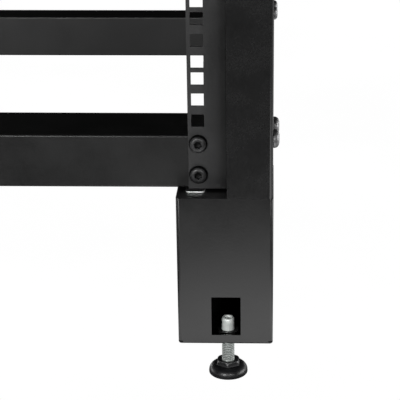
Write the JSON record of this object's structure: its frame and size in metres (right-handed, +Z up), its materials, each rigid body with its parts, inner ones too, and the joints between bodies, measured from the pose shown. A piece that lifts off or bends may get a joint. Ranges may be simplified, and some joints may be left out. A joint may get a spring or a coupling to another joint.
{
  "type": "open four-post server rack",
  "caption": "Open four-post equipment rack: folded posts with square-hole flanges on box legs with levelling feet, joined by crossbars and side rails.",
  "frame": {"origin": "on the floor under the middle of the rack", "axes": "+Z up, -Y towards the front, +X to the right seen from the front"},
  "size_m": [0.5856, 0.486, 0.7805],
  "materials": {
    "powder_coat": "fine black powder coat, satin",
    "black_screw": "black oxide, semi-gloss",
    "dark_steel": "dark coated steel",
    "zinc": "bright zinc plate",
    "foot_plastic": "glossy black moulded plastic"
  },
  "bodies": {
    "frame": {"post_front_right": "powder_coat", "rack_rail_front_right": "powder_coat", "leg_front_right": "powder_coat", "foot_insert_front_right": "dark_steel", "flange_screws_front_right": "black_screw", "side_screws_front_right": "black_screw", "post_front_left": "powder_coat", "rack_rail_front_left": "powder_coat", "leg_front_left": "powder_coat", "foot_insert_front_left": "dark_steel", "flange_screws_front_left": "black_screw", "side_screws_front_left": "black_screw", "post_rear_right": "powder_coat", "rack_rail_rear_right": "powder_coat", "leg_rear_right": "powder_coat", "foot_insert_rear_right": "dark_steel", "flange_screws_rear_right": "black_screw", "side_screws_rear_right": "black_screw", "post_rear_left": "powder_coat", "rack_rail_rear_left": "powder_coat", "leg_rear_left": "powder_coat", "foot_insert_rear_left": "dark_steel", "flange_screws_rear_left": "black_screw", "side_screws_rear_left": "black_screw", "crossbar_front_bottom": "powder_coat", "crossbar_front_top": "powder_coat", "crossbar_rear_bottom": "powder_coat", "crossbar_rear_top": "powder_coat", "side_rail_bottom_left": "powder_coat", "side_rail_bottom_right": "powder_coat", "side_rail_top_left": "powder_coat", "side_rail_top_right": "powder_coat", "leg_washers": "zinc", "leg_bolts": "zinc"},
    "foot_front_right": {"levelling_screw_front_right": "zinc", "foot_base_front_right": "foot_plastic"},
    "foot_front_left": {"levelling_screw_front_left": "zinc", "foot_base_front_left": "foot_plastic"},
    "foot_rear_right": {"levelling_screw_rear_right": "zinc", "foot_base_rear_right": "foot_plastic"},
    "foot_rear_left": {"levelling_screw_rear_left": "zinc", "foot_base_rear_left": "foot_plastic"}
  },
  "joints": [
    {"name": "level_front_right", "type": "slide", "parent": "frame", "child": "foot_front_right", "axis": [0, 0, 1], "range_m": [-0.005, 0.012]},
    {"name": "level_front_left", "type": "slide", "parent": "frame", "child": "foot_front_left", "axis": [0, 0, 1], "range_m": [-0.005, 0.012]},
    {"name": "level_rear_right", "type": "slide", "parent": "frame", "child": "foot_rear_right", "axis": [0, 0, 1], "range_m": [-0.005, 0.012]},
    {"name": "level_rear_left", "type": "slide", "parent": "frame", "child": "foot_rear_left", "axis": [0, 0, 1], "range_m": [-0.005, 0.012]}
  ]
}
